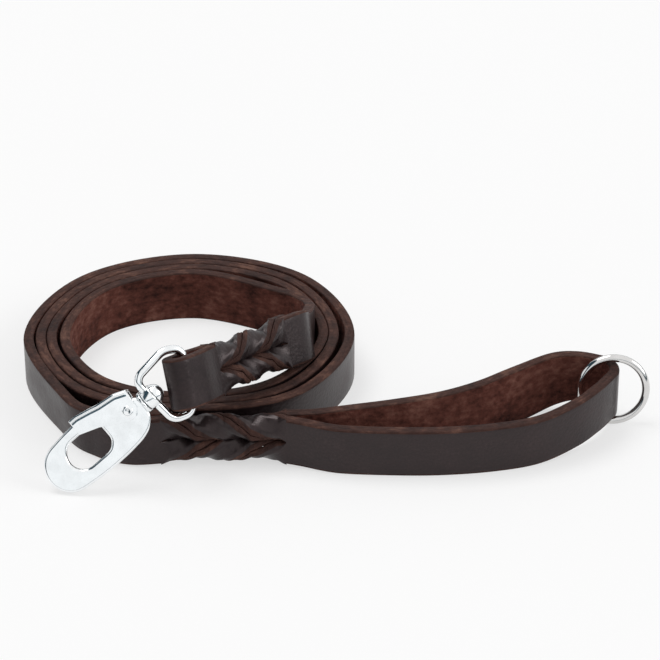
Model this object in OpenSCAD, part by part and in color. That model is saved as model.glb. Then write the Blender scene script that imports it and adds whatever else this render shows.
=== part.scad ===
// Leather training leash: a coiled flat strap, braided back on itself at both
// ends, with a swivel snap on one end and a hand loop with an O-ring on the other.
// Millimetres. +X runs from the coil to the hand loop, +Z is up, the floor is Z = 0.

/* [Strap] */
// Width of the leather strap, which stands on its edge
strap_w = 20; // [18:0.5:22]
// Thickness of the leather
strap_t = 4; // [3:0.1:4]
// How far the front and back of the coil flare outwards from bottom to top
coil_flare = 3; // [0:0.5:4]

/* [Braids] */
// Length of the handle's braid, over which the slit strap is twisted
handle_braid_len = 48; // [42:1:52]
// Length of the snap's braid
snap_braid_len = 38; // [34:1:42]
// Full turns of each half of the slit strap
braid_turns = 1; // [1:1:2]
// Corner that the leather loses where it is twisted
braid_chamfer = 2; // [1.6:0.1:2.4]
// Gap between the two layers of doubled leather
layer_gap = 0.3; // [0.2:0.05:0.4]
// Gap between the two halves of the slit
slit_gap = 0.3; // [0.2:0.05:0.5]
// Length of the cut-off end behind each braid
tail_len = 9; // [7:1:10]

/* [Fold] */
// Distance from the fold's outer end to the snap's braid
fold_len = 22.5; // [20:0.5:25]
// Clearance round the bail's bar inside the fold
fold_clear = 0.35; // [0.3:0.05:0.6]

/* [Hand loop] */
// Radius of the loop's far bend, at the middle of the strap
bend_r = 8.5; // [8:0.1:9]

/* [Ring] */
// Inner radius of the O-ring
ring_in_r = 11.2; // [11.1:0.1:11.8]
// Thickness of the O-ring's wire
ring_wire = 3.1; // [2.6:0.1:3.4]
// Gap between the ring's wire and the strap's edge that passes over it
ring_seat = 0.91; // [0.8:0.01:1]
// Backward tilt of the O-ring
ring_tilt = 13; // [8:1:14]

/* [Bail] */
// Thickness of the bail's wire
bail_wire = 3.2; // [2.8:0.1:3.4]
// Side clearance between the bail's arms and the strap
bail_side = 0.9; // [0.8:0.1:1.2]
// Inner corner radius of the bail
bail_corner = 1.2; // [1:0.1:1.6]
// Radius of the swivel eye in the bail's base
eye_r = 4.3; // [4:0.1:5]
// Depth of the flats on the swivel eye
eye_flat = 0.7; // [0.5:0.1:1]
// Height of the swivel eye
eye_h = 4.2; // [4:0.1:4.6]

/* [Swivel] */
// Radius of the swivel stud
stud_r = 2; // [1.6:0.05:2.2]
// Radial running clearance of the stud in the eye
stud_fit = 0.08; // [0.06:0.01:0.1]
// Radius of the stud's dome head
dome_r = 3.9; // [3.4:0.1:4.2]
// Height of the stud's dome head
dome_h = 3; // [2.4:0.1:3.4]
// Radius of the collar on top of the hook
collar_r = 4.4; // [4:0.1:5]
// Thickness of the collar
collar_h = 1.2; // [1:0.1:1.6]
// End play between the eye and the stud's head and collar
swivel_play = 0.3; // [0.2:0.05:0.4]

/* [Hook] */
// Length of the hook plate, from its top edge to the far end of its head
hook_len = 47; // [45:0.5:50]
// Radius of the hook's round head
head_r = 10.2; // [9.6:0.1:10.6]
// Thickness of the hook plate
plate_t = 2.4; // [2:0.1:2.6]
// Radius of the round end of the throat
throat_r = 6; // [5.4:0.1:6.2]

/* [Gate] */
// Thickness of the gate's sheet metal
gate_t = 0.9; // [0.7:0.05:1]
// Side clearance between the gate's cheeks and the plate
gate_side = 0.3; // [0.25:0.05:0.4]
// Radius of the rivet that the gate turns on
rivet_r = 1.5; // [1.2:0.05:1.7]
// Radius of the rivet's heads
rivet_head_r = 2.6; // [2.2:0.1:3]
// Radial running clearance of the gate on its rivet
rivet_fit = 0.06; // [0.05:0.01:0.09]

/* [Hidden] */

// The model's origin: middle of the whole leash, on the floor, seen from the coil's centre.
origin = [58, -5.52, 0];

leather_dark = [0.20, 0.15, 0.14];
leather_edge = [0.36, 0.22, 0.19];
plated = [0.86, 0.88, 0.90];
nickel = [0.72, 0.72, 0.74];

up = [0, 0, 1];
half_w = strap_w / 2;
layer_off = (strap_t + layer_gap) / 2;

// ---- vectors, frames and curves ----
function unit(v) = v / norm(v);
function square_to(v, a) = unit(v - a * (v * a));
function smooth(t) = t * t * (3 - 2 * t);
function mix(a, b, t) = a + (b - a) * t;
function backwards(p) = [for (i = [len(p) - 1 : -1 : 0]) p[i]];

// Places a shape's own X, Y and Z along the three given directions.
module placed(o, x, y, z)
    multmatrix([[x.x, y.x, z.x, o.x],
                [x.y, y.y, z.y, o.y],
                [x.z, y.z, z.z, o.z],
                [0, 0, 0, 1]])
        children();

// A smooth curve through keys, with n steps to each stretch.
function spline_at(k, i, t) =
    let (a = k[max(i - 1, 0)], b = k[i], c = k[i + 1], d = k[min(i + 2, len(k) - 1)])
    0.5 * (2 * b + (c - a) * t + (2 * a - 5 * b + 4 * c - d) * t * t
           + (3 * b - a - 3 * c + d) * t * t * t);
function spline(k, n) =
    concat([for (i = [0 : len(k) - 2], j = [0 : n - 1]) spline_at(k, i, j / n)],
           [k[len(k) - 1]]);

// A closed solid through rings that all have the same number of points.
// lean picks which way the faces between two rings are divided.
module loft(rings, lean = 1) {
    n = len(rings[0]);
    m = len(rings);
    middle = function(r) [for (p = r) 1] * r / n;
    travel = middle(rings[1]) - middle(rings[0]);
    area = [for (i = [1 : n - 2]) 1]
           * [for (i = [1 : n - 2])
                  cross(rings[0][i] - rings[0][0], rings[0][i + 1] - rings[0][0])];
    inside_out = area * travel > 0;
    faces = concat(
        [[for (i = [n - 1 : -1 : 0]) i]],
        [for (k = [0 : m - 2], i = [0 : n - 1], half = [0, 1])
            let (a = k * n + i, b = k * n + (i + 1) % n, c = b + n, d = a + n)
            lean > 0 ? (half == 0 ? [a, b, c] : [a, c, d])
                     : (half == 0 ? [a, b, d] : [b, c, d])],
        [[for (i = [0 : n - 1]) (m - 1) * n + i]]);
    polyhedron(
        points = [for (r = rings, p = r) p],
        faces = inside_out ? [for (f = faces) backwards(f)] : faces,
        convexity = 10);
}

// One ring of the strap: middle c, direction of travel t, width direction w,
// and flat = 1 where its edges lie flat on the floor or 0 where they are square.
function strap_ring(c, t, w, flat) =
    let (s = unit(mix(unit(cross(t, w)), unit(cross(t, up)), flat)) * strap_t / 2)
    [c + w * half_w + s, c - w * half_w + s, c - w * half_w - s, c + w * half_w - s];

// keys: [x, y, z, width direction x, y, z, flat]
function at3(k, i) = [k[i], k[i + 1], k[i + 2]];
module strap_along(keys, steps, t_start, t_end) {
    c = spline(keys, steps);
    last = len(c) - 1;
    loft([for (i = [0 : last])
        let (t = i == 0 ? t_start : i == last ? t_end
                 : unit(at3(c[i + 1], 0) - at3(c[i - 1], 0)))
        strap_ring([c[i].x, c[i].y, max(c[i].z, half_w)], t, at3(c[i], 3), c[i][6])]);
}

// ---- section of a braid ----
// How far both faces of the leather bulge where it is slit
crown = 0.04;
// Section of one half of one layer, in [out, up]; side is -1 for main or 1 for tail.
function half_layer(side, ch) =
    let (a = side * layer_gap / 2, b = side * (strap_t + layer_gap / 2),
         c = b - side * ch, h = half_w / 2)
    [[a, h], [c, h], [b, h - ch], [b + side * crown, 0],
     [b, -h + ch], [c, -h], [a, -h], [a - side * crown, 0]];
function turned(p, a) = [p.x * cos(a) - p.y * sin(a), p.x * sin(a) + p.y * cos(a)];
function reach(a, ch) =
    max([for (side = [-1, 1], p = half_layer(side, ch)) abs(turned(p, a).y)]);
// Half the height of a braid where its turned corners stand furthest out
braid_half_h = slit_gap / 2 + 2 * max([for (a = [0 : 5 : 90]) reach(a, braid_chamfer)]);

// ---- where the snap end of the leash lies ----
// Outer end of the fold, at the middle of the strap
fold_tip = [-3, -65, 39.2];
// Direction of the doubled strap towards the snap
snap_dir = unit([-0.666, -0.730, 0.135]);
// Direction across the strap's width, leaning back
snap_up = square_to([-0.17, 0.36, 0.92], snap_dir);
snap_out = cross(snap_dir, snap_up);
snap_braid_start = fold_tip - snap_dir * fold_len;
snap_braid_end = snap_braid_start - snap_dir * snap_braid_len;

// ---- where the hand loop's end of the leash lies ----
// Start of the handle's braid, at the middle of the doubled strap
handle_start = [-8, -56.2, braid_half_h];
handle_dir = [1, 0, 0];
handle_out = [0, 1, 0];
handle_end = handle_start + handle_dir * handle_braid_len;

// ---- the coil ----
coil_centre = [0, 5];
// Radius of the strap's middle at every eighth of a turn, from the inner end outwards
coil_radii = [48.0, 48.8, 47.9, 49.3, 48.9, 46.0, 43.5, 48.5, 53.9, 53.6,
              52.1, 53.5, 54.2, 51.4, 47.8, 54.6, 58.1, 58.2, 56.3, 57.7,
              58.5, 56.4, 52.2, 60.5, 64.4, 63.2, 60.5, 61.9, 63.3, 63.3];
first_eighth = 1;
last_eighth = 29;
function coil_key(i) =
    let (a = i * 45, k = coil_flare * pow(sin(a), 2) / strap_w)
    [coil_centre.x + coil_radii[i] * cos(a), coil_centre.y + coil_radii[i] * sin(a),
     half_w, k * cos(a), k * sin(a), 1, 1];

snap_main = snap_braid_end - snap_out * layer_off;
lead_straight = snap_main - snap_dir * (tail_len + 2.5);
handle_main = handle_start - handle_out * layer_off;
lead_keys = concat(
    [[snap_main.x, snap_main.y, snap_main.z, snap_up.x, snap_up.y, snap_up.z, 0],
     [lead_straight.x, lead_straight.y, lead_straight.z, snap_up.x, snap_up.y, snap_up.z, 0],
     [47.6, -3.0, 24.2, -0.09, 0.16, 0.98, 0.2],
     [48.6, 10.0, 19.2, -0.04, 0.04, 1, 0.5],
     [48.2, 21.5, 14.4, 0, 0, 1, 0.8],
     [44.8, 32.0, 10.8, 0, 0, 1, 1]],
    [for (i = [first_eighth : last_eighth]) coil_key(i)],
    [[-32.0, -52.4, half_w, 0, 0, 1, 1],
     [-20.0, -58.0, mix(half_w, handle_main.z, 0.3), 0, 0, 1, 1],
     [handle_main.x, handle_main.y, handle_main.z, 0, 0, 1, 1]]);

module lead_strap()
    color(leather_dark) strap_along(lead_keys, 6, -snap_dir, handle_dir);

// ---- the braids ----
// A doubled strap is slit along its middle, and each half is twisted the other way.
// o: middle of the doubled strap at the start, dir, out and width directions.
// half is 1 for the upper half or -1 for the lower, hand is the twist's sense.
module braid_strand(o, dir, out, width, length, side, half, hand) {
    steps = 30 * braid_turns;
    loft(lean = hand * half, rings = [for (i = [0 : steps])
        let (t = i / steps, e = mix(t, smooth(t), 0.35),
             a = hand * half * 360 * braid_turns * e,
             ch = max(0.2, braid_chamfer * min(1, 15 * t, 15 * (1 - t))),
             mid = half * (reach(a, ch) + slit_gap / 2),
             c = o + dir * length * t)
        [for (p = half_layer(side, ch))
            let (q = turned(p, a)) c + out * q.x + width * (mid + q.y)]]);
}
module snap_strand(side, half)
    color(leather_edge)
        braid_strand(snap_braid_end, snap_dir, snap_out, snap_up, snap_braid_len,
                     side, half, 1);
module handle_strand(side, half)
    color(leather_edge)
        braid_strand(handle_start, handle_dir, handle_out, up, handle_braid_len,
                     side, half, 1);

module snap_braid_main_upper() snap_strand(-1, 1);
module snap_braid_main_lower() snap_strand(-1, -1);
module snap_braid_tail_upper() snap_strand(1, 1);
module snap_braid_tail_lower() snap_strand(1, -1);
module handle_braid_main_upper() handle_strand(-1, 1);
module handle_braid_main_lower() handle_strand(-1, -1);
module handle_braid_tail_upper() handle_strand(1, 1);
module handle_braid_tail_lower() handle_strand(1, -1);

// ---- the fold that holds the bail ----
fold_in_r = bail_wire / 2 + fold_clear;
fold_mid_r = fold_in_r + strap_t / 2;
// The two layers run apart to clear the bail's bar, then meet at the braid.
pocket_len = 12;
function fold_mid(s) =
    s < pocket_len ? fold_mid_r
    : mix(fold_mid_r, layer_off, smooth((s - pocket_len) / (fold_len - pocket_len)));
fold_side = [for (k = [0 : 16]) let (s = fold_len - k * (fold_len - fold_mid_r - strap_t / 2) / 16)
             [-s, -fold_mid(s)]];
fold_bend = [for (a = [-75 : 15 : 75])
             [-(fold_mid_r + strap_t / 2) + fold_mid_r * cos(a), fold_mid_r * sin(a)]];
fold_path = concat(fold_side, fold_bend,
                   [for (k = [len(fold_side) - 1 : -1 : 0]) [fold_side[k].x, -fold_side[k].y]]);
function path_dir(p, i) =
    i == 0 || i == len(p) - 1 ? [i == 0 ? 1 : -1, 0]
    : unit(p[i + 1] - p[i - 1]);
function beside(p, d) =
    [for (i = [0 : len(p) - 1]) let (t = path_dir(p, i)) p[i] + d * [-t.y, t.x]];

module snap_fold()
    color(leather_dark)
        placed(fold_tip, snap_dir, snap_out, snap_up)
            linear_extrude(height = strap_w, center = true)
                polygon(concat(beside(fold_path, strap_t / 2),
                               backwards(beside(fold_path, -strap_t / 2))));

// A cut-off end of the strap with its corners clipped.
module tail_end(o, dir, out, width)
    placed(o, dir, width, cross(dir, width))
        linear_extrude(height = strap_t, center = true)
            polygon([[0, -half_w], [tail_len - 3, -half_w], [tail_len, -half_w + 3],
                     [tail_len, half_w - 3], [tail_len - 3, half_w], [0, half_w]]);
module snap_tail()
    color(leather_edge)
        tail_end(snap_braid_end + snap_out * layer_off, -snap_dir, snap_out, snap_up);
module handle_tail()
    color(leather_edge)
        tail_end(handle_start + handle_out * layer_off, -handle_dir, handle_out, up);

// ---- the hand loop ----
ring_mid_r = ring_in_r + ring_wire / 2;
// The ring stands on the floor, and the strap passes over the bottom of its wire
ring_z = ring_mid_r * cos(ring_tilt) + ring_wire / 2;
bend_centre = [158.5, -27, ring_z - ring_in_r * cos(ring_tilt) + ring_seat + half_w];
loop_lift = bend_centre.z - half_w;
function bend_key(a) =
    [bend_centre.x + bend_r * cos(a), bend_centre.y + bend_r * sin(a), bend_centre.z,
     0, 0, 1, 1];
loop_keys = concat(
    [[handle_end.x, handle_end.y - layer_off, handle_end.z, 0, 0, 1, 1],
     [46, -59.6, mix(half_w, handle_end.z, 0.6), 0, 0, 1, 1],
     [60, -63.4, half_w, 0, 0, 1, 1],
     [79, -64.8, half_w, 0, 0, 1, 1],
     [98, -64.8, half_w, 0, 0, 1, 1],
     [118, -62.4, half_w, 0, 0, 1, 1],
     [136, -57.4, half_w + 0.3, 0, 0, 1, 1],
     [150.5, -49.2, half_w + 0.6 * loop_lift, 0, 0, 1, 1],
     [159.6, -40.6, bend_centre.z, 0, 0, 1, 1]],
    [for (a = [-42 : 21 : 63]) bend_key(a)],
    [[153.5, -17.0, bend_centre.z, -0.02, 0.06, 1, 1],
     [144, -17.6, half_w + 0.7 * loop_lift, -0.05, 0.18, 1, 1],
     [131, -23.4, half_w + 0.2, -0.1, 0.26, 1, 1],
     [116, -34.2, half_w, -0.1, 0.28, 1, 1],
     [100, -42.2, half_w, -0.05, 0.28, 1, 1],
     [81, -47.6, half_w, 0, 0.26, 1, 1],
     [63, -51.0, half_w, 0, 0.18, 1, 1],
     [50, -53.2, mix(half_w, handle_end.z, 0.4), 0, 0.06, 1, 1],
     [handle_end.x, handle_end.y + layer_off, handle_end.z, 0, 0, 1, 1]]);

module handle_loop()
    color(leather_dark) strap_along(loop_keys, 5, handle_dir, -handle_dir);

// ---- the O-ring ----
ring_centre = [bend_centre.x + bend_r, bend_centre.y, ring_z];
module handle_ring()
    color(nickel)
        translate(ring_centre)
            rotate([90 - ring_tilt, 0, 0])
                rotate_extrude($fn = 96)
                    translate([ring_mid_r, 0])
                        circle(d = ring_wire, $fn = 32);

// ---- the bail ----
// Middle of the bail's bar inside the fold
bail_bar = fold_tip - snap_dir * (2 * fold_mid_r + 1.2);
// Direction from the bar towards the swivel
bail_dir = square_to([-0.911, -0.412, 0], snap_up);
bail_half = half_w + bail_side + bail_wire / 2;
// The eye's middle on the bail's base, in [along the bar, towards the swivel]
eye_at = [-2.6, 15.8];
base_dir = unit([0.834, 0.551]);
// Corners of the bail's wire from one side of the eye round to the other
bail_pts = [eye_at + base_dir * (eye_r - eye_flat), eye_at + base_dir * 9.4,
            [bail_half + 1.6, 7.7], [bail_half, 0], [-bail_half, 0],
            eye_at - base_dir * 12.9, eye_at - base_dir * (eye_r - eye_flat)];
function on_bail(p) = bail_bar + snap_up * p.x + bail_dir * p.y;

// Points of an open path with its inner corners rounded to radius r.
function rounded(p, r, n) =
    concat([p[0]],
           [for (i = [1 : len(p) - 2])
               let (d1 = unit(p[i] - p[i - 1]), d2 = unit(p[i + 1] - p[i]),
                    turn = acos(d1 * d2), side = sign(d1.x * d2.y - d1.y * d2.x),
                    from = p[i] - d1 * r * tan(turn / 2),
                    centre = from + side * r * [-d1.y, d1.x])
               for (k = [0 : n])
                   let (a = side * turn * k / n)
                   centre + turned(from - centre, a)],
           [p[len(p) - 1]]);

// Round wire along flat points, placed by their own o, x and y directions.
module wire(p, r, o, x, y, sides = 12) {
    z = cross(x, y);
    last = len(p) - 1;
    loft([for (i = [0 : last])
        let (t = unit(p[min(i + 1, last)] - p[max(i - 1, 0)]),
             c = o + x * p[i].x + y * p[i].y, s = x * -t.y + y * t.x)
        [for (k = [0 : sides - 1]) c + r * (s * cos(k * 360 / sides) + z * sin(k * 360 / sides))]]);
}

// ---- the hook's own frame: X from the eye to the head, Y to its back, Z to its face ----
hook_dir = unit([-0.752, -0.214, -0.624]);
hook_back = square_to([0.669, -0.386, -0.635], hook_dir);
hook_face = cross(hook_dir, hook_back);
eye_pos = on_bail(eye_at);
base_way = snap_up * base_dir.x + bail_dir * base_dir.y;
hook_dir_square = square_to(hook_dir, base_way);
module in_hook_frame()
    placed(eye_pos, hook_dir, hook_back, hook_face)
        children();
// Upright cylinder along the hook's own X
module along_stud(x, h, r)
    translate([x, 0, 0])
        rotate([0, 90, 0])
            cylinder(r = r, h = h, $fn = 48);

module bail()
    color(plated)
        wire(rounded(bail_pts, bail_corner + bail_wire / 2, 5), bail_wire / 2,
             bail_bar, snap_up, bail_dir);

// The swivel eye has a flat on each side, where the ends of the wire meet it.
module bail_eye()
    color(plated)
        difference() {
            in_hook_frame()
                along_stud(-eye_h / 2, eye_h, eye_r);
            in_hook_frame()
                along_stud(-eye_h, 2 * eye_h, stud_r + stud_fit);
            for (s = [-1, 1])
                placed(eye_pos + s * base_way * (eye_r - eye_flat), s * base_way,
                       hook_dir_square, cross(s * base_way, hook_dir_square))
                    translate([0, -eye_r, -eye_r])
                        cube([eye_r, 2 * eye_r, 2 * eye_r]);
        }

// ---- the swivel stud ----
head_x = -eye_h / 2 - swivel_play;
collar_x = eye_h / 2 + swivel_play;
plate_x = collar_x + collar_h;
dome_sphere_r = (pow(dome_r, 2) + pow(dome_h, 2)) / (2 * dome_h);
module swivel_stud()
    color(plated)
        in_hook_frame()
            union() {
                along_stud(head_x - 0.5, plate_x - head_x + 0.5, stud_r);
                along_stud(collar_x, collar_h, collar_r);
                intersection() {
                    translate([head_x - dome_h + dome_sphere_r, 0, 0])
                        sphere(r = dome_sphere_r, $fn = 64);
                    along_stud(head_x - dome_h, dome_h, dome_r);
                }
            }

// ---- the hook plate ----
head_c = [plate_x + hook_len - head_r, 0];
throat_c = [head_c.x - 6.6, -0.6];
throat_top = plate_x + 18;
nose_x = throat_top + 6.4;
rivet_pos = [plate_x + 6.2, -1.4];
rivet_hole = rivet_r + rivet_fit;
function arc(c, r, from, to, n) =
    [for (k = [0 : n]) let (a = from + (to - from) * k / n) c + r * [cos(a), sin(a)]];
module plate_outline()
    difference() {
        polygon(concat(
            [[plate_x, -3.4], [plate_x, 3.4], [plate_x + 1.4, 6.2], [plate_x + 4.2, 8.8],
             [plate_x + 8.6, 10.3], [plate_x + 16, 11], [plate_x + 24, 11.2],
             [plate_x + 31, 10.9]],
            arc(head_c, head_r, 84, -84, 28),
            [[head_c.x - 5, -head_r - 0.7], [nose_x + 1.6, -head_r - 1],
             [nose_x, -head_r], [nose_x, -6.8], [throat_top, -5.4],
             [plate_x + 8, -6.2]]));
        polygon(concat(
            [[throat_top, -head_r - 3], [nose_x + 0.01, -head_r - 3],
             [nose_x + 0.01, throat_c.y - throat_r]],
            arc(throat_c, throat_r, -90, 90, 24),
            [[throat_top + 5, throat_c.y + throat_r],
             [throat_top + 2.4, throat_c.y + throat_r - 0.5],
             [throat_top, throat_c.y + throat_r - 3]]));
    }
module hook_plate()
    color(plated)
        in_hook_frame()
            difference() {
                linear_extrude(height = plate_t, center = true)
                    plate_outline();
                translate([rivet_pos.x, rivet_pos.y, -plate_t])
                    cylinder(r = rivet_hole, h = 2 * plate_t, $fn = 48);
            }

// ---- the gate: sheet metal folded round the plate's open side ----
gate_in = plate_t / 2 + gate_side;
gate_out = gate_in + gate_t;
gate_tip = nose_x + 1.6;
gate_spine = head_r + 1.6;
module gate_outline(d)
    polygon([[plate_x + 1.6, -6.6 + d], [plate_x + 7, -8.7 + d], [plate_x + 14, -9.6 + d],
             [throat_top, -gate_spine + 1.2 + d], [nose_x - 1.2, -gate_spine + d],
             [gate_tip, -gate_spine + d], [gate_tip, -6.6],
             [throat_top + 0.4, -3.9], [plate_x + 11, 0.4], [plate_x + 8, 2],
             [plate_x + 4.6, 2], [plate_x + 2.4, -0.4]]);
module gate()
    color(plated)
        in_hook_frame()
            difference() {
                linear_extrude(height = 2 * gate_out, center = true)
                    gate_outline(-gate_t - 0.4);
                linear_extrude(height = 2 * gate_in, center = true)
                    union() {
                        gate_outline(-0.4);
                        translate([plate_x - 6, -3])
                            square([gate_tip - plate_x + 16, 9]);
                        translate([plate_x - 6, -5.6])
                            square([8, 4]);
                        translate([nose_x - 3.1, -gate_spine - 2])
                            square([6, 10]);
                    }
                translate([rivet_pos.x, rivet_pos.y, -gate_out - 1])
                    cylinder(r = rivet_hole, h = 2 * gate_out + 2, $fn = 48);
            }

module gate_rivet()
    color(plated)
        in_hook_frame()
            translate([rivet_pos.x, rivet_pos.y, 0])
                union() {
                    cylinder(r = rivet_r, h = 2 * gate_out + 0.6, center = true, $fn = 48);
                    for (s = [-1, 1])
                        translate([0, 0, s * (gate_out + 0.55)])
                            cylinder(r = rivet_head_r, h = 0.7, center = true, $fn = 48);
                }

// ---- the gate's spring: a flat blade inside the fold of the gate ----
module gate_spring()
    color(nickel)
        in_hook_frame()
            linear_extrude(height = plate_t, center = true)
                polygon([[plate_x + 2, -4.12], [plate_x + 7, -5.87], [plate_x + 9.8, -6.8],
                         [plate_x + 9.8, -7.15], [plate_x + 6.8, -6.25], [plate_x + 2, -4.6]]);

translate(-origin) {
    lead_strap();
    snap_braid_main_upper();
    snap_braid_main_lower();
    snap_braid_tail_upper();
    snap_braid_tail_lower();
    snap_fold();
    snap_tail();
    handle_braid_main_upper();
    handle_braid_main_lower();
    handle_braid_tail_upper();
    handle_braid_tail_lower();
    handle_loop();
    handle_tail();
    handle_ring();
    bail();
    bail_eye();
    swivel_stud();
    hook_plate();
    gate();
    gate_rivet();
    gate_spring();
}
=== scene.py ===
import math

import bmesh
import bpy
from mathutils import Matrix, Vector


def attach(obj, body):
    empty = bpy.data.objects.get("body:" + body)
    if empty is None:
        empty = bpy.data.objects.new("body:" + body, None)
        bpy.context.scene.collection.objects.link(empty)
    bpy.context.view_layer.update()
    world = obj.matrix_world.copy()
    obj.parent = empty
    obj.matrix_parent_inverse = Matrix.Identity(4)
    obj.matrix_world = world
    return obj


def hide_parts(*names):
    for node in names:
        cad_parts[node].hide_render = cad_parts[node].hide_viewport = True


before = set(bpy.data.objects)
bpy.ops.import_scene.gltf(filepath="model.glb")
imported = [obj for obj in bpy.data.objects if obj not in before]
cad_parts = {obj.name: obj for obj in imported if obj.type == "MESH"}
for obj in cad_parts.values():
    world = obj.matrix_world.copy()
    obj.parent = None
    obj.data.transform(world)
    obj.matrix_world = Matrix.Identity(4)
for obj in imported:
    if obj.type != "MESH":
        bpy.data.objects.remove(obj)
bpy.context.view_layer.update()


MM = 0.001
# The part's drawing frame has its zero at the coil; the row frame's zero is the leash's middle.
ORIGIN = Vector((58.0, -5.52, 0.0))
UP = Vector((0.0, 0.0, 1.0))


def to_row(p):
    return (Vector(p) - ORIGIN) * MM


# ---- camera, lights, floor ----
AIM = Vector((56.6, 10.9, 17.9))
VIEW = Vector((0.0, -0.8545, 0.5195))
DISTANCE = 1200.0
camera_data = bpy.data.cameras.new("camera")
camera_data.sensor_width = 36.0
camera_data.lens = 163.64
camera_data.clip_end = 50.0
camera = bpy.data.objects.new("camera", camera_data)
bpy.context.scene.collection.objects.link(camera)
camera.location = to_row(AIM + VIEW * DISTANCE)
camera.rotation_euler = (-VIEW).to_track_quat("-Z", "Y").to_euler()
bpy.context.scene.camera = camera
bpy.context.scene.view_settings.view_transform = "Standard"


def lamp(name, direction, strength, angle):
    data = bpy.data.lights.new(name, "SUN")
    data.energy = strength
    data.angle = math.radians(angle)
    obj = bpy.data.objects.new(name, data)
    bpy.context.scene.collection.objects.link(obj)
    obj.rotation_euler = Vector(direction).to_track_quat("Z", "Y").to_euler()


lamp("key_light", (-0.35, 0.25, 1.0), 1.15, 30)
lamp("side_light", (0.95, -0.15, 0.55), 0.95, 35)


class Nodes:
    """Short way to build a node tree."""

    def __init__(self, tree):
        self.tree = tree
        tree.nodes.clear()

    def add(self, kind, inputs=None, **settings):
        node = self.tree.nodes.new(kind)
        for key, value in settings.items():
            setattr(node, key, value)
        for key, value in (inputs or {}).items():
            if isinstance(value, bpy.types.NodeSocket):
                self.tree.links.new(value, node.inputs[key])
            else:
                node.inputs[key].default_value = value
        return node

    def ramp(self, factor, stops):
        node = self.add("ShaderNodeValToRGB", {"Fac": factor})
        elements = node.color_ramp.elements
        while len(elements) < len(stops):
            elements.new(0.5)
        for element, (position, colour) in zip(elements, stops):
            element.position = position
            element.color = (*colour, 1.0)
        return node.outputs["Color"]

    def grey(self, factor, low, high, frm=0.0, to=1.0):
        return self.add("ShaderNodeMapRange", {
            "Value": factor, "From Min": frm, "From Max": to,
            "To Min": low, "To Max": high}).outputs["Result"]


def build_world():
    world = bpy.data.worlds.new("studio")
    world.use_nodes = True
    bpy.context.scene.world = world
    n = Nodes(world.node_tree)
    way = n.add("ShaderNodeTexCoord").outputs["Generated"]
    split = n.add("ShaderNodeSeparateXYZ", {"Vector": way})
    # What metal mirrors: a white studio, with a dark cool strip low down and one at the left.
    dark, white = (0.02, 0.05, 0.07), (1.0, 1.0, 1.0)
    height = n.ramp(split.outputs["Z"], [
        (0.0, (0.80, 0.83, 0.85)), (0.03, dark), (0.10, dark), (0.17, (0.92, 0.96, 0.98)),
        (0.4, white)])
    left = n.ramp(n.grey(split.outputs["X"], 0.0, 1.0, -1.0, 0.0), [
        (0.14, white), (0.20, dark), (0.44, dark), (0.52, white)])
    both = n.add("ShaderNodeVectorMath", {0: height, 1: left}, operation="MULTIPLY")
    mirror = n.add("ShaderNodeBackground", {"Color": both.outputs[0], "Strength": 1.0})
    ambient = n.add("ShaderNodeBackground", {"Color": (1, 1, 1, 1), "Strength": 0.5})
    seen = n.add("ShaderNodeBackground", {"Color": (1, 1, 1, 1), "Strength": 1.0})
    path = n.add("ShaderNodeLightPath")
    metal = n.add("ShaderNodeMixShader", {
        0: path.outputs["Is Glossy Ray"], 1: ambient.outputs[0], 2: mirror.outputs[0]})
    mix = n.add("ShaderNodeMixShader", {
        0: path.outputs["Is Camera Ray"], 1: metal.outputs[0], 2: seen.outputs[0]})
    n.add("ShaderNodeOutputWorld", {"Surface": mix.outputs[0]})


build_world()


# ---- materials ----
def new_material(name):
    material = bpy.data.materials.new(name)
    material.use_nodes = True
    return material, Nodes(material.node_tree)


def leather(name, dark, light, worn, rough, shine, bump_mm, fibre, grain_scale):
    """Leather on the strap's own coordinates, U along it and V across it, in metres."""
    material, n = new_material(name)
    uv = n.add("ShaderNodeTexCoord").outputs["UV"]
    along = n.add("ShaderNodeMapping", {"Vector": uv, "Scale": (fibre, 1.0, 1.0)})
    cloud = n.add("ShaderNodeTexNoise", {
        "Vector": uv, "Scale": 55.0, "Detail": 5.0, "Roughness": 0.6})
    grain = n.add("ShaderNodeTexNoise", {
        "Vector": along.outputs[0], "Scale": grain_scale, "Detail": 6.0, "Roughness": 0.65})
    pores = n.add("ShaderNodeTexVoronoi", {"Vector": uv, "Scale": grain_scale * 0.9})
    tone = n.add("ShaderNodeMix", {
        0: 0.45, 2: cloud.outputs[0], 3: grain.outputs[0]}, data_type="FLOAT")
    colour = n.ramp(tone.outputs[0], [(0.38, dark), (0.53, light), (0.68, worn)])
    height = n.add("ShaderNodeMath", {
        0: grain.outputs[0], 1: pores.outputs["Distance"]}, operation="ADD")
    bump = n.add("ShaderNodeBump", {
        "Height": height.outputs[0], "Distance": bump_mm * MM, "Strength": 1.0})
    roughness = n.grey(cloud.outputs[0], rough - 0.08, rough + 0.08, 0.3, 0.7)
    shader = n.add("ShaderNodeBsdfPrincipled", {
        "Base Color": colour, "Roughness": roughness, "Normal": bump.outputs[0],
        "Specular IOR Level": shine, "Specular Tint": (1.0, 0.86, 0.86, 1.0)})
    n.add("ShaderNodeOutputMaterial", {"Surface": shader.outputs[0]})
    return material


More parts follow.
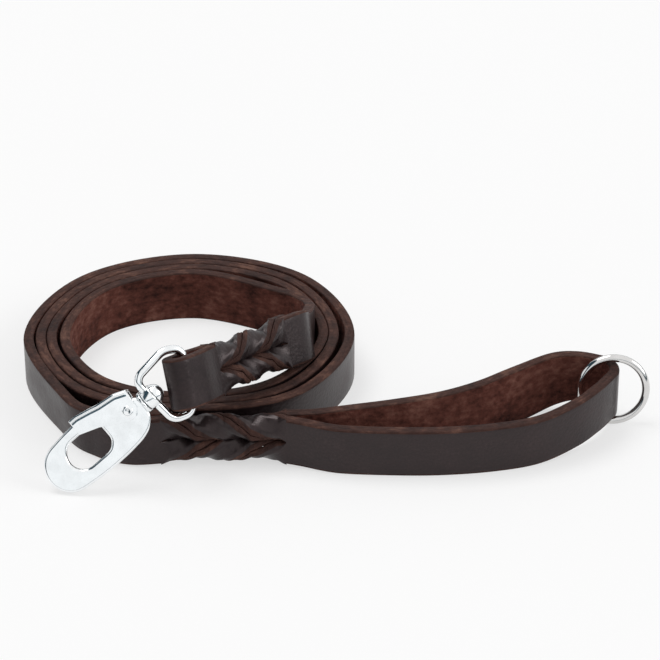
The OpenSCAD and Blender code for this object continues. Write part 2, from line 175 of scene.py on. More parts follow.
def metal(name, colour, rough, spread, bump_mm):
    material, n = new_material(name)
    where = n.add("ShaderNodeTexCoord").outputs["Object"]
    haze = n.add("ShaderNodeTexNoise", {
        "Vector": where, "Scale": 160.0, "Detail": 4.0, "Roughness": 0.6})
    wave = n.add("ShaderNodeTexNoise", {"Vector": where, "Scale": 420.0, "Detail": 2.0})
    tint = n.ramp(haze.outputs[0], [
        (0.3, [c * 0.9 for c in colour]), (0.7, [min(1.0, c * 1.04) for c in colour])])
    bump = n.add("ShaderNodeBump", {
        "Height": wave.outputs[0], "Distance": bump_mm * MM, "Strength": 1.0})
    shader = n.add("ShaderNodeBsdfPrincipled", {
        "Base Color": tint, "Metallic": 1.0, "Normal": bump.outputs[0],
        "Roughness": n.grey(haze.outputs[0], rough, rough + spread, 0.3, 0.7)})
    n.add("ShaderNodeOutputMaterial", {"Surface": shader.outputs[0]})
    return material


GRAIN = leather("leather_grain", (0.0058, 0.0034, 0.0037), (0.0138, 0.0078, 0.0082),
                (0.0290, 0.0180, 0.0182), 0.35, 0.44, 0.05, 1.0, 900.0)
FLESH = leather("leather_flesh", (0.024, 0.0075, 0.0055), (0.110, 0.038, 0.028),
                (0.220, 0.100, 0.076), 0.92, 0.15, 0.50, 0.6, 420.0)
EDGE = leather("leather_edge", (0.014, 0.0055, 0.0042), (0.055, 0.025, 0.019),
               (0.170, 0.086, 0.062), 0.75, 0.25, 0.22, 0.35, 620.0)
LEATHER = [GRAIN, FLESH, EDGE]
KIND = {"grain": 0, "flesh": 1, "edge": 2}
PLATED = metal("plated_steel", (0.93, 0.95, 0.96), 0.10, 0.05, 0.003)
NICKEL = metal("nickel", (0.70, 0.69, 0.68), 0.08, 0.05, 0.003)
# Dark metal used only as painted shade: the strip beside the gate's rolled edge stands in for
# the crease's shade and dark reflection
PAINTED_SHADE_METAL = metal("painted_crease_shade", (0.10, 0.15, 0.18), 0.22, 0.08, 0.003)
SPRING = metal("spring_steel", (0.45, 0.45, 0.46), 0.30, 0.10, 0.02)


def floor_material():
    """A pale floor that keeps a light shadow, and reads as white to the camera."""
    material, n = new_material("floor")
    where = n.add("ShaderNodeTexCoord").outputs["Object"]
    noise = n.add("ShaderNodeTexNoise", {"Vector": where, "Scale": 4.0})
    colour = n.ramp(noise.outputs[0], [(0.3, (0.93, 0.93, 0.93)), (0.7, (0.94, 0.94, 0.94))])
    matt = n.add("ShaderNodeBsdfDiffuse", {"Color": colour})
    white = n.add("ShaderNodeEmission", {"Color": (1, 1, 1, 1), "Strength": 1.0})
    path = n.add("ShaderNodeLightPath").outputs
    seen = n.add("ShaderNodeMath", {
        0: path["Is Camera Ray"], 1: path["Is Glossy Ray"]}, operation="MAXIMUM")
    share = n.add("ShaderNodeMath", {0: seen.outputs[0], 1: 0.6}, operation="MULTIPLY")
    mixed = n.add("ShaderNodeMixShader", {
        0: share.outputs[0], 1: matt.outputs[0], 2: white.outputs[0]})
    n.add("ShaderNodeOutputMaterial", {"Surface": mixed.outputs[0]})
    return material


floor_mesh = bpy.data.meshes.new("floor")
FLOOR = 4.0
floor_mesh.from_pydata([(-FLOOR, -FLOOR, 0), (FLOOR, -FLOOR, 0), (FLOOR, FLOOR, 0),
                        (-FLOOR, FLOOR, 0)], [], [(0, 1, 2, 3)])
floor = bpy.data.objects.new("floor", floor_mesh)
floor_mesh.materials.append(floor_material())
bpy.context.scene.collection.objects.link(floor)
floor.location.z = -0.00005


# ---- shapes shared by the pieces ----
def mix(a, b, t):
    return a + (b - a) * t


def smooth(t):
    return t * t * (3 - 2 * t)


def unit(v):
    return Vector(v).normalized()


def square_to(v, a):
    v, a = Vector(v), Vector(a)
    return (v - a * v.dot(a)).normalized()


def spline(keys, steps):
    """The same smooth curve through keys as in the part's source."""
    out = []
    last = len(keys) - 1
    for i in range(last):
        a, b = keys[max(i - 1, 0)], keys[i]
        c, d = keys[i + 1], keys[min(i + 2, last)]
        for j in range(steps):
            t = j / steps
            out.append([0.5 * (2 * q + (r - p) * t + (2 * p - 5 * q + 4 * r - s) * t * t
                               + (3 * q - p - 3 * r + s) * t ** 3)
                        for p, q, r, s in zip(a, b, c, d)])
    out.append(list(keys[-1]))
    return out


def finish_piece(obj, body, nodes=()):
    bpy.context.scene.collection.objects.link(obj)
    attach(obj, body)
    if nodes:
        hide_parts(*nodes)
    return obj


LOFT_SHARP = 55  # degrees between faces that stay a sharp edge


def loft(name, rings, kinds, materials):
    """A capped mesh through rings of points in drawing millimetres.
    kinds gives the material of the face strip after each point of a ring."""
    mesh = bpy.data.meshes.new(name)
    bm = bmesh.new()
    uv = bm.loops.layers.uv.new("strap")
    n = len(rings[0])
    verts = [[bm.verts.new(to_row(p)) for p in ring] for ring in rings]
    lengths = [0.0]
    for a, b in zip(rings, rings[1:]):
        step = sum(((q - p) for p, q in zip(a, b)), Vector()) / n
        lengths.append(lengths[-1] + step.length)
    around = [0.0]
    for i in range(n):
        around.append(around[-1] + (rings[0][(i + 1) % n] - rings[0][i]).length)
    for k in range(len(rings) - 1):
        u1 = lengths[k + 1]
        for i in range(n):
            j = (i + 1) % n
            face = bm.faces.new((verts[k][i], verts[k][j], verts[k + 1][j], verts[k + 1][i]))
            face.material_index = kinds[i]
            face.smooth = True
            for loop, (u, v) in zip(face.loops, ((lengths[k], around[i]),
                                                 (lengths[k], around[i + 1]),
                                                 (u1, around[i + 1]), (u1, around[i]))):
                loop[uv].uv = (u * MM, v * MM)
    for ring in (verts[0][::-1], verts[-1]):
        face = bm.faces.new(ring)
        face.material_index = KIND["edge"] if len(materials) == 3 else 0
        for loop in face.loops:
            p = loop.vert.co
            loop[uv].uv = (p.x + p.y, p.z)
    bmesh.ops.recalc_face_normals(bm, faces=bm.faces)
    bm.to_mesh(mesh)
    bm.free()
    for material in materials:
        mesh.materials.append(material)
    mesh.set_sharp_from_angle(angle=math.radians(LOFT_SHARP))
    return bpy.data.objects.new(name, mesh)


def round_corners(points, radii, kinds, n=3):
    """A 2D outline with rounded corners; kinds[i] is the side from point i to the next."""
    out, out_kinds = [], []
    count = len(points)
    for i, p in enumerate(points):
        a, b = points[i - 1], points[(i + 1) % count]
        d1, d2 = (a - p), (b - p)
        r = min(radii[i], d1.length * 0.45, d2.length * 0.45)
        if r < 1e-4:
            out.append(p.copy())
            out_kinds.append(kinds[i])
            continue
        p1, p2 = p + d1.normalized() * r, p + d2.normalized() * r
        corner = "edge" if kinds[i] != kinds[i - 1] else kinds[i]
        for k in range(n + 1):
            t = k / n
            out.append((1 - t) ** 2 * p1 + 2 * t * (1 - t) * p + t * t * p2)
            out_kinds.append(kinds[i] if k == n else corner)
    return out, out_kinds


STRAP_W, STRAP_T, LAYER_GAP, SLIT_GAP = 20.0, 4.0, 0.3, 0.3
HALF_W = STRAP_W / 2
LAYER_OFF = (STRAP_T + LAYER_GAP) / 2


def strap_section():
    """Section of the strap, x towards the grain side and y across its width."""
    hx, hy, inset = STRAP_T / 2, HALF_W, 1.4
    corners = [Vector(p) for p in ((hx, -hy), (hx, hy), (-hx, hy), (-hx, -hy))]
    outline, kinds = round_corners(corners, [0.9, 0.9, 0.5, 0.5],
                                   ["grain", "edge", "flesh", "edge"])
    points, sides = [], []
    for i, p in enumerate(outline):
        q = outline[(i + 1) % len(outline)]
        points.append(p)
        sides.append(kinds[i])
        if (q - p).length > 3:
            for t in (inset, (q - p).length / 2, (q - p).length - inset):
                if 0.4 < t < (q - p).length - 0.4:
                    points.append(p + (q - p).normalized() * t)
                    sides.append(kinds[i])
    return points, [KIND[k] for k in sides]


SECTION, SECTION_KINDS = strap_section()


def strap_rings(stations):
    """stations: (middle, direction of travel, width direction, flat edges 0..1)."""
    rings = []
    for c, t, w, flat in stations:
        s = (t.cross(w).normalized() * (1 - flat) + t.cross(UP).normalized() * flat).normalized()
        rings.append([c + s * p.x + w * p.y for p in SECTION])
    return rings


def strap_along(name, keys, steps, t_start, t_end):
    points = spline(keys, steps)
    stations = []
    for i, p in enumerate(points):
        if i == 0:
            t = t_start
        elif i == len(points) - 1:
            t = t_end
        else:
            t = unit(Vector(points[i + 1][:3]) - Vector(points[i - 1][:3]))
        c = Vector((p[0], p[1], max(p[2], HALF_W)))
        stations.append((c, t, Vector(p[3:6]), p[6]))
    return loft(name, strap_rings(stations), SECTION_KINDS, LEATHER)


# ---- section of a braid, as in the part's source ----
CHAMFER, CROWN = 2.0, 0.04


def half_layer(side, ch):
    a, b = side * LAYER_GAP / 2, side * (STRAP_T + LAYER_GAP / 2)
    c, h = b - side * ch, HALF_W / 2
    return [Vector(p) for p in ((a, h), (c, h), (b, h - ch), (b + side * CROWN, 0),
                                (b, -h + ch), (c, -h), (a, -h), (a - side * CROWN, 0))]


LAYER_KINDS = ["edge", "grain", "grain", "grain", "grain", "edge", "flesh", "flesh"]


def turned(p, a):
    s, c = math.sin(math.radians(a)), math.cos(math.radians(a))
    return Vector((p.x * c - p.y * s, p.x * s + p.y * c))


def reach(a, ch):
    return max(abs(turned(p, a).y) for side in (-1, 1) for p in half_layer(side, ch))


BRAID_HALF_H = SLIT_GAP / 2 + 2 * max(reach(a, CHAMFER) for a in range(0, 95, 5))


def braid_strand(name, o, way, out, width, length, side, half, turns=1, steps=96,
                 pressed=0.75):
    """One half of one layer. The twisted halves press into each other a little."""
    rings = []
    for i in range(steps + 1):
        t = i / steps
        a = half * 360 * turns * mix(t, smooth(t), 0.35)
        ch = max(0.02, CHAMFER * min(1, 15 * t, 15 * (1 - t)))
        mid = half * (reach(a, ch) + SLIT_GAP / 2 - pressed * min(1, 12 * t, 12 * (1 - t)))
        points, kinds = round_corners(half_layer(side, ch),
                                      [0.5, 0.8, 0.8, 0, 0.8, 0.8, 0.5, 0], LAYER_KINDS)
        c = o + way * (length * t)
        rings.append([c + out * q.x + width * (mid + q.y)
                      for q in (turned(p, a) for p in points)])
    return loft(name, rings, [KIND[k] for k in kinds], LEATHER)


# ---- where the snap end lies ----
BAIL_WIRE, FOLD_CLEAR, FOLD_LEN, SNAP_BRAID_LEN, TAIL_LEN = 3.2, 0.35, 22.5, 38.0, 9.0
FOLD_TIP = Vector((-3.0, -65.0, 39.2))
SNAP_DIR = unit((-0.666, -0.730, 0.135))
SNAP_UP = square_to((-0.17, 0.36, 0.92), SNAP_DIR)
SNAP_OUT = SNAP_DIR.cross(SNAP_UP)
SNAP_START = FOLD_TIP - SNAP_DIR * FOLD_LEN
SNAP_END = SNAP_START - SNAP_DIR * SNAP_BRAID_LEN

# ---- where the hand loop's end lies ----
HANDLE_LEN = 48.0
HANDLE_START = Vector((-8.0, -56.2, BRAID_HALF_H))
HANDLE_DIR, HANDLE_OUT = Vector((1, 0, 0)), Vector((0, 1, 0))
HANDLE_END = HANDLE_START + HANDLE_DIR * HANDLE_LEN

# ---- the coil and the strap on to both braids ----
COIL_CENTRE, COIL_FLARE = (0.0, 5.0), 3.0
COIL_RADII = [48.0, 48.8, 47.9, 49.3, 48.9, 46.0, 43.5, 48.5, 53.9, 53.6,
              52.1, 53.5, 54.2, 51.4, 47.8, 54.6, 58.1, 58.2, 56.3, 57.7,
              58.5, 56.4, 52.2, 60.5, 64.4, 63.2, 60.5, 61.9, 63.3, 63.3]


def coil_key(i):
    a = math.radians(45 * i)
    k = COIL_FLARE * math.sin(a) ** 2 / STRAP_W
    r = COIL_RADII[i]
    return [COIL_CENTRE[0] + r * math.cos(a), COIL_CENTRE[1] + r * math.sin(a), HALF_W,
            k * math.cos(a), k * math.sin(a), 1, 1]


snap_main = SNAP_END - SNAP_OUT * LAYER_OFF
lead_straight = snap_main - SNAP_DIR * (TAIL_LEN + 2.5)
handle_main = HANDLE_START - HANDLE_OUT * LAYER_OFF
lead_keys = [
    [*snap_main, *SNAP_UP, 0], [*lead_straight, *SNAP_UP, 0],
    [47.6, -3.0, 24.2, -0.09, 0.16, 0.98, 0.2], [48.6, 10.0, 19.2, -0.04, 0.04, 1, 0.5],
    [48.2, 21.5, 14.4, 0, 0, 1, 0.8], [44.8, 32.0, 10.8, 0, 0, 1, 1],
    *[coil_key(i) for i in range(1, 30)],
    [-32.0, -52.4, HALF_W, 0, 0, 1, 1],
    [-20.0, -58.0, mix(HALF_W, handle_main.z, 0.3), 0, 0, 1, 1],
    [*handle_main, 0, 0, 1, 1]]
lead = finish_piece(strap_along("lead_leather", lead_keys, 14, -SNAP_DIR, HANDLE_DIR),
                    "leash", ["lead_strap"])

# ---- the hand loop ----
BEND_R, RING_IN_R, RING_WIRE, RING_TILT = 8.5, 11.2, 3.1, 13.0
RING_MID_R = RING_IN_R + RING_WIRE / 2
BEND = Vector((158.5, -27.0, RING_MID_R * math.cos(math.radians(RING_TILT)) + RING_WIRE / 2))
LIFT = BEND.z - HALF_W


def bend_key(a):
    a = math.radians(a)
    return [BEND.x + BEND_R * math.cos(a), BEND.y + BEND_R * math.sin(a), BEND.z, 0, 0, 1, 1]


loop_keys = [
    [HANDLE_END.x, HANDLE_END.y - LAYER_OFF, HANDLE_END.z, 0, 0, 1, 1],
    [46, -59.6, mix(HALF_W, HANDLE_END.z, 0.6), 0, 0, 1, 1],
    [60, -63.4, HALF_W, 0, 0, 1, 1], [79, -64.8, HALF_W, 0, 0, 1, 1],
    [98, -64.8, HALF_W, 0, 0, 1, 1], [118, -62.4, HALF_W, 0, 0, 1, 1],
    [136, -57.4, HALF_W + 0.3, 0, 0, 1, 1],
    [150.5, -49.2, HALF_W + 0.6 * LIFT, 0, 0, 1, 1], [159.6, -40.6, BEND.z, 0, 0, 1, 1],
    *[bend_key(a) for a in range(-42, 64, 21)],
    [153.5, -17.0, BEND.z, -0.02, 0.06, 1, 1],
    [144, -17.6, HALF_W + 0.7 * LIFT, -0.05, 0.18, 1, 1],
    [131, -23.4, HALF_W + 0.2, -0.1, 0.26, 1, 1], [116, -34.2, HALF_W, -0.1, 0.28, 1, 1],
    [100, -42.2, HALF_W, -0.05, 0.28, 1, 1], [81, -47.6, HALF_W, 0, 0.26, 1, 1],
    [63, -51.0, HALF_W, 0, 0.18, 1, 1],
    [50, -53.2, mix(HALF_W, HANDLE_END.z, 0.4), 0, 0.06, 1, 1],
    [HANDLE_END.x, HANDLE_END.y + LAYER_OFF, HANDLE_END.z, 0, 0, 1, 1]]
loop = finish_piece(strap_along("loop_leather", loop_keys, 12, HANDLE_DIR, -HANDLE_DIR),
                    "leash", ["handle_loop"])

# ---- the braids ----
for end, o, way, out, width, length in (
        ("snap", SNAP_END, SNAP_DIR, SNAP_OUT, SNAP_UP, SNAP_BRAID_LEN),
        ("handle", HANDLE_START, HANDLE_DIR, HANDLE_OUT, UP, HANDLE_LEN)):
    for layer, side in (("main", -1), ("tail", 1)):
        for place, half in (("upper", 1), ("lower", -1)):
            strand = braid_strand(f"{end}_twist_{layer}_{place}", o, way, out, width, length,
                                  side, half)
            finish_piece(strand, "leash", [f"{end}_braid_{layer}_{place}"])

# ---- the fold round the bail ----
FOLD_R = BAIL_WIRE / 2 + FOLD_CLEAR + STRAP_T / 2
POCKET = 12.0


def fold_mid(s):
    if s < POCKET:
        return FOLD_R
    return mix(FOLD_R, LAYER_OFF, smooth((s - POCKET) / (FOLD_LEN - POCKET)))


fold_sides = [FOLD_LEN - k * (FOLD_LEN - FOLD_R - STRAP_T / 2) / 30 for k in range(31)]
fold_path = [Vector((-s, fold_mid(s))) for s in fold_sides]
fold_path += [Vector((-(FOLD_R + STRAP_T / 2) + FOLD_R * math.cos(math.radians(a)),
                      FOLD_R * math.sin(math.radians(a)))) for a in range(80, -81, -8)]
fold_path += [Vector((-s, -fold_mid(s))) for s in reversed(fold_sides)]
stations = []
for i, p in enumerate(fold_path):
    if i in (0, len(fold_path) - 1):
        t2 = Vector((1.0 if i == 0 else -1.0, 0.0))
    else:
        t2 = (fold_path[i + 1] - fold_path[i - 1]).normalized()
    stations.append((FOLD_TIP + SNAP_DIR * p.x + SNAP_OUT * p.y,
                     SNAP_DIR * t2.x + SNAP_OUT * t2.y, SNAP_UP, 0.0))
finish_piece(loft("fold_leather", strap_rings(stations), SECTION_KINDS, LEATHER),
             "leash", ["snap_fold"])


# ---- flat plates: cut ends of the strap and the hook ----
def shade(mesh, angle=35, flat_side=None):
    """Smooth shading with sharp edges kept; faces along flat_side stay truly flat."""
    mesh.shade_smooth()
    mesh.set_sharp_from_angle(angle=math.radians(angle))
    if flat_side is not None:
        for face in mesh.polygons:
            if abs(face.normal.dot(flat_side)) > 0.9995:
                face.use_smooth = False


def frame_matrix(o, x, y, z):
    m = Matrix((x, y, z)).transposed().to_4x4()
    m.translation = to_row(o)
    return m


def plate(name, outlines, thickness, bevel, matrix, materials):
    """A plate with softened edges, from flat outlines in millimetres."""
    curve = bpy.data.curves.new(name, "CURVE")
    curve.dimensions = "2D"
    curve.fill_mode = "BOTH"
    curve.extrude = (thickness / 2 - bevel) * MM
    curve.bevel_depth = bevel * MM
    curve.offset = -bevel * MM
    curve.bevel_resolution = 3
    for outline in outlines:
        line = curve.splines.new("POLY")
        line.points.add(len(outline) - 1)
        for point, (x, y) in zip(line.points, outline):
            point.co = (x * MM, y * MM, 0, 1)
        line.use_cyclic_u = True
    source = bpy.data.objects.new(name + "_curve", curve)
    bpy.context.scene.collection.objects.link(source)
    graph = bpy.context.evaluated_depsgraph_get()
    mesh = bpy.data.meshes.new_from_object(source.evaluated_get(graph))
    bpy.data.objects.remove(source)
    bpy.data.curves.remove(curve)
    mesh.transform(matrix)
    mesh.materials.clear()
    for material in materials:
        mesh.materials.append(material)
    bm = bmesh.new()
    bm.from_mesh(mesh)
    bmesh.ops.remove_doubles(bm, verts=bm.verts, dist=1e-6)
    bmesh.ops.recalc_face_normals(bm, faces=bm.faces)
    bm.to_mesh(mesh)
    bm.free()
    shade(mesh, flat_side=(matrix.to_3x3() @ UP).normalized())
    return bpy.data.objects.new(name, mesh)


def leather_sides(mesh, out):
    """Grain on the side that faces out, flesh on the other, and cut edges round it."""
    uv = mesh.uv_layers.new(name="strap") if not mesh.uv_layers else mesh.uv_layers[0]
    for face in mesh.polygons:
        facing = face.normal.dot(out)
        kind = "grain" if facing > 0.6 else "flesh" if facing < -0.6 else "edge"
        face.material_index = KIND[kind]
        for i in face.loop_indices:
            p = mesh.vertices[mesh.loops[i].vertex_index].co
            uv.data[i].uv = (p.x + p.y, p.z)


tail_outline = [(0, -HALF_W), (TAIL_LEN - 3, -HALF_W), (TAIL_LEN, -HALF_W + 3),
                (TAIL_LEN, HALF_W - 3), (TAIL_LEN - 3, HALF_W), (0, HALF_W)]
for end, o, way, out, width in (
        ("snap", SNAP_END, -SNAP_DIR, SNAP_OUT, SNAP_UP),
        ("handle", HANDLE_START, -HANDLE_DIR, HANDLE_OUT, UP)):
    matrix = frame_matrix(o + out * LAYER_OFF, way, width, way.cross(width))
    end_piece = plate(f"{end}_cut_end", [tail_outline], STRAP_T, 0.5, matrix, LEATHER)
    leather_sides(end_piece.data, out)
    finish_piece(end_piece, "leash", [f"{end}_tail"])


# ---- round pieces ----
def lathe(name, profile, matrix, material, steps=64, ring=False):
    """A turned piece about its own X, from [along, radius] in millimetres."""
    mesh = bpy.data.meshes.new(name)
    bm = bmesh.new()
    rows = []
    for x, r in profile:
        if r < 1e-6:
            rows.append([bm.verts.new(matrix @ Vector((x * MM, 0, 0)))])
        else:
            rows.append([bm.verts.new(matrix @ (Vector((
                x, r * math.cos(2 * math.pi * k / steps),
                r * math.sin(2 * math.pi * k / steps))) * MM)) for k in range(steps)])
    pairs = list(zip(rows, rows[1:])) + ([(rows[-1], rows[0])] if ring else [])
    for a, b in pairs:
        for k in range(steps):
            k2 = (k + 1) % steps
            corners = [a[k % len(a)], a[k2 % len(a)], b[k2 % len(b)], b[k % len(b)]]
            unique = list(dict.fromkeys(corners))
            if len(unique) > 2:
                bm.faces.new(unique)
    bmesh.ops.recalc_face_normals(bm, faces=bm.faces)
    bm.to_mesh(mesh)
    bm.free()
    mesh.materials.append(material)
    shade(mesh, 40)
    return bpy.data.objects.new(name, mesh)


def wire_piece(name, path, r, material, sides=28):
    """Round wire along points in drawing millimetres."""
    rings = []
    last = len(path) - 1
    z = (path[1] - path[0]).cross(path[3] - path[0]).normalized()
    for i, p in enumerate(path):
        t = (path[min(i + 1, last)] - path[max(i - 1, 0)]).normalized()
        s = t.cross(z).normalized()
        rings.append([p + r * (s * math.cos(2 * math.pi * k / sides)
                               + t.cross(s) * math.sin(2 * math.pi * k / sides))
                      for k in range(sides)])
    return loft(name, rings, [0] * sides, [material])


# The O-ring
ring_centre = BEND + Vector((BEND_R, 0, 0))
tilt = math.radians(RING_TILT)
ring_axis = Vector((0, -math.cos(tilt), math.sin(tilt)))
ring_matrix = frame_matrix(ring_centre, ring_axis, Vector((1, 0, 0)),
                           ring_axis.cross(Vector((1, 0, 0))))
ring_profile = [(RING_WIRE / 2 * math.sin(2 * math.pi * k / 32),
                 RING_MID_R + RING_WIRE / 2 * math.cos(2 * math.pi * k / 32))
                for k in range(32)]
finish_piece(lathe("o_ring", ring_profile, ring_matrix, NICKEL, 128, ring=True),
             "ring", ["handle_ring"])

# The bail
BAIL_BAR = FOLD_TIP - SNAP_DIR * (2 * FOLD_R + 1.2)
BAIL_DIR = square_to((-0.911, -0.412, 0), SNAP_UP)
BAIL_HALF = HALF_W + 0.9 + BAIL_WIRE / 2
EYE_AT = Vector((-2.6, 15.8))
BASE_DIR = Vector((0.834, 0.551)).normalized()
EYE_R, EYE_H = 4.3, 4.2
bail_corners = [EYE_AT + BASE_DIR * (EYE_R - 1.4), EYE_AT + BASE_DIR * 9.0,
                Vector((BAIL_HALF + 0.9, 7.4)), Vector((BAIL_HALF, 0)),
                Vector((-BAIL_HALF, 0)), EYE_AT - BASE_DIR * 12.9,
                EYE_AT - BASE_DIR * (EYE_R - 1.4)]
# Bend of the wire at each inner corner, tight only where it enters the fold
bail_bends = [4.0, 7.0, 4.2, 4.2, 5.0]


def rounded_path(points, bends, n):
    out = [points[0]]
    for p, q, s, r in zip(points, points[1:], points[2:], bends):
        d1, d2 = (q - p).normalized(), (s - q).normalized()
        bend = math.acos(max(-1, min(1, d1.dot(d2))))
        side = math.copysign(1, d1.x * d2.y - d1.y * d2.x)
        start = q - d1 * r * math.tan(bend / 2)
        centre = start + side * r * Vector((-d1.y, d1.x))
        for k in range(n + 1):
            out.append(centre + turned(start - centre, math.degrees(side * bend * k / n)))
    out.append(points[-1])
    return out


def on_bail(p):
    return BAIL_BAR + SNAP_UP * p.x + BAIL_DIR * p.y


bail_path = [on_bail(p) for p in rounded_path(bail_corners, bail_bends, 12)]
finish_piece(wire_piece("bail_wire", bail_path, BAIL_WIRE / 2, PLATED),
             "bail_body", ["bail"])

# The swivel, in the hook's own frame: X from the eye to the head, Y to its back
HOOK_DIR = unit((-0.752, -0.214, -0.624))
HOOK_BACK = square_to((0.669, -0.386, -0.635), HOOK_DIR)
HOOK_FACE = HOOK_DIR.cross(HOOK_BACK)
EYE_POS = on_bail(EYE_AT)
HOOK = frame_matrix(EYE_POS, HOOK_DIR, HOOK_BACK, HOOK_FACE)
STUD_R, DOME_R, DOME_H, COLLAR_R, COLLAR_H, PLAY = 2.0, 3.9, 3.0, 4.4, 1.2, 0.3


def soft_corners(points, r):
    """A profile with its corners cut softly."""
    out = []
    for i, p in enumerate(points):
        if i in (0, len(points) - 1):
            out.append(p)
            continue
        a, b, q = Vector(points[i - 1]), Vector(points[i + 1]), Vector(p)
        d1, d2 = a - q, b - q
        k = min(r, d1.length * 0.45, d2.length * 0.45)
        p1, p2 = q + d1.normalized() * k, q + d2.normalized() * k
        for t in (0, 0.33, 0.67, 1):
            out.append(tuple((1 - t) ** 2 * p1 + 2 * t * (1 - t) * q + t * t * p2))
    return out


bore = STUD_R + 0.08
eye_profile = soft_corners([(0, bore), (-EYE_H / 2, bore), (-EYE_H / 2, EYE_R),
                            (EYE_H / 2, EYE_R), (EYE_H / 2, bore), (0.01, bore)], 0.7)
finish_piece(lathe("swivel_eye", eye_profile, HOOK, PLATED, ring=True),
             "bail_body", ["bail_eye"])
head_x, collar_x = -EYE_H / 2 - PLAY, EYE_H / 2 + PLAY
sphere_r = (DOME_R ** 2 + DOME_H ** 2) / (2 * DOME_H)
dome = [(head_x - DOME_H + sphere_r * (1 - math.cos(a)), sphere_r * math.sin(a))
        for a in [math.asin(DOME_R / sphere_r) * k / 12 for k in range(13)]]
stud_profile = dome[:-1] + soft_corners(
    [dome[-1], (head_x, DOME_R), (head_x, STUD_R), (collar_x, STUD_R),
     (collar_x, COLLAR_R), (collar_x + COLLAR_H, COLLAR_R), (collar_x + COLLAR_H, 0)], 0.35)
finish_piece(lathe("swivel_post", stud_profile, HOOK, PLATED),
             "hook", ["swivel_stud"])

# The hook plate
PLATE_X = collar_x + COLLAR_H
HEAD_R, PLATE_T, THROAT_R = 10.2, 2.4, 6.0
HEAD_C = (PLATE_X + 47 - HEAD_R, 0.0)
THROAT_C = (HEAD_C[0] - 6.6, -0.6)
THROAT_TOP = PLATE_X + 18
NOSE_X = THROAT_TOP + 6.4
RIVET = (PLATE_X + 6.2, -1.4)
GATE_IN = PLATE_T / 2 + 0.3
GATE_OUT = GATE_IN + 0.9


def arc(c, r, start, stop, n):
    return [(c[0] + r * math.cos(math.radians(mix(start, stop, k / n))),
             c[1] + r * math.sin(math.radians(mix(start, stop, k / n)))) for k in range(n + 1)]


def relaxed(points, r):
    """A closed outline whose blunt corners are rounded."""
    out, _ = round_corners([Vector(p) for p in points], [r] * len(points),
                           ["edge"] * len(points), 4)
    return [tuple(p) for p in out]


back = [(PLATE_X, -3.4), (PLATE_X, 3.4), (PLATE_X + 1.4, 6.2), (PLATE_X + 4.2, 8.8),
        (PLATE_X + 8.6, 10.3), (PLATE_X + 16, 11), (PLATE_X + 24, 11.2),
        (PLATE_X + 31, 10.9)]
nose = [(HEAD_C[0] - 5, -HEAD_R - 0.7), (NOSE_X + 1.6, -HEAD_R - 1), (NOSE_X, -HEAD_R),
        (NOSE_X, THROAT_C[1] - THROAT_R)]
throat = arc(THROAT_C, THROAT_R, -90, 90, 32) + [
    (THROAT_TOP + 5, THROAT_C[1] + THROAT_R), (THROAT_TOP + 2.4, THROAT_C[1] + THROAT_R - 0.5),
    (THROAT_TOP, THROAT_C[1] + THROAT_R - 3), (THROAT_TOP, -5.4), (PLATE_X + 8, -6.2)]
plate_outline = relaxed(back + arc(HEAD_C, HEAD_R, 84, -84, 48) + nose + throat, 2.0)
rivet_hole = arc(RIVET, 1.56, 0, 348.75, 31)
finish_piece(plate("hook_body", [plate_outline, rivet_hole], PLATE_T, 1.0, HOOK, [PLATED]),
             "hook", ["hook_plate"])


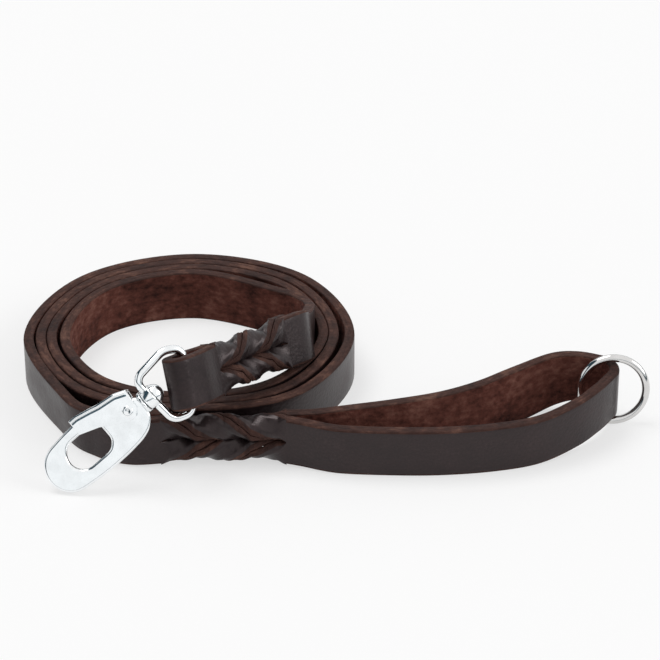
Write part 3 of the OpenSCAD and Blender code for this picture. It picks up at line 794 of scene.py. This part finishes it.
def softened(name, node, bevel):
    """A CAD node's own shape with its sharp edges rounded."""
    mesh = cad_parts[node].data.copy()
    mesh.name = name
    bm = bmesh.new()
    bm.from_mesh(mesh)
    bmesh.ops.remove_doubles(bm, verts=bm.verts, dist=1e-6)
    bmesh.ops.dissolve_limit(bm, angle_limit=math.radians(2), verts=bm.verts, edges=bm.edges)
    sharp = [e for e in bm.edges if e.is_manifold and e.calc_face_angle(0) > math.radians(40)]
    bmesh.ops.bevel(bm, geom=sharp, offset=bevel * MM, segments=3, profile=0.5,
                    affect="EDGES", clamp_overlap=True)
    bm.to_mesh(mesh)
    bm.free()
    mesh.materials.clear()
    mesh.materials.append(PLATED)
    shade(mesh, flat_side=HOOK_FACE)
    return bpy.data.objects.new(name, mesh)


finish_piece(softened("gate_sheet", "gate", 0.2), "gate_body", ["gate"])

# Where the gate's sheet folds over its back: a rolled edge, with the step beside it drawn as a
# thin strip of dark metal, which is painted shade and painted dark reflection in the crease
GATE_SPINE = HEAD_R + 1.6
fold_line = [(PLATE_X + 2.6, -7.6), (PLATE_X + 7, -9.4), (PLATE_X + 14, -10.3),
             (THROAT_TOP, -GATE_SPINE + 0.5), (NOSE_X - 1.2, -GATE_SPINE - 0.6),
             (NOSE_X + 1.2, -GATE_SPINE - 0.6)]
for place, z in (("near", 1), ("far", -1)):
    for what, inset, r, lift, material in (("roll", 0.0, 0.8, -0.35, PLATED),
                                           ("step", 1.15, 0.42, -0.22, PAINTED_SHADE_METAL)):
        path = [Vector((*p, 0)) for p in rounded_path(
            [Vector(p) for p in fold_line], [6] * 4, 4)]
        path = [(HOOK @ (Vector((x, y + inset, z * (GATE_OUT + lift))) * MM)) / MM + ORIGIN
                for x, y, _ in path]
        finish_piece(wire_piece(f"gate_{what}_{place}", path, r, material, 16),
                     "gate_body", ())
rivet_matrix = frame_matrix(
    EYE_POS + HOOK_DIR * RIVET[0] + HOOK_BACK * RIVET[1], HOOK_FACE, HOOK_DIR, HOOK_BACK)
rivet_top = GATE_OUT + 0.45
rivet_profile = [(-rivet_top + 0.25, 0), (-rivet_top + 0.2, 0.7), (-rivet_top, 1.2),
                 (-rivet_top + 0.05, 1.7), (-GATE_OUT - 0.1, 2.1), (-GATE_OUT - 0.02, 2.0),
                 (-GATE_OUT - 0.02, 1.4)]
rivet_profile += [(-x, r) for x, r in reversed(rivet_profile)]
finish_piece(lathe("gate_pin", rivet_profile, rivet_matrix, PLATED, 48),
             "hook", ["gate_rivet"])
# The blade spring shows as its own CAD solid
spring_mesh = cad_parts["gate_spring"].data
spring_mesh.materials.clear()
spring_mesh.materials.append(SPRING)
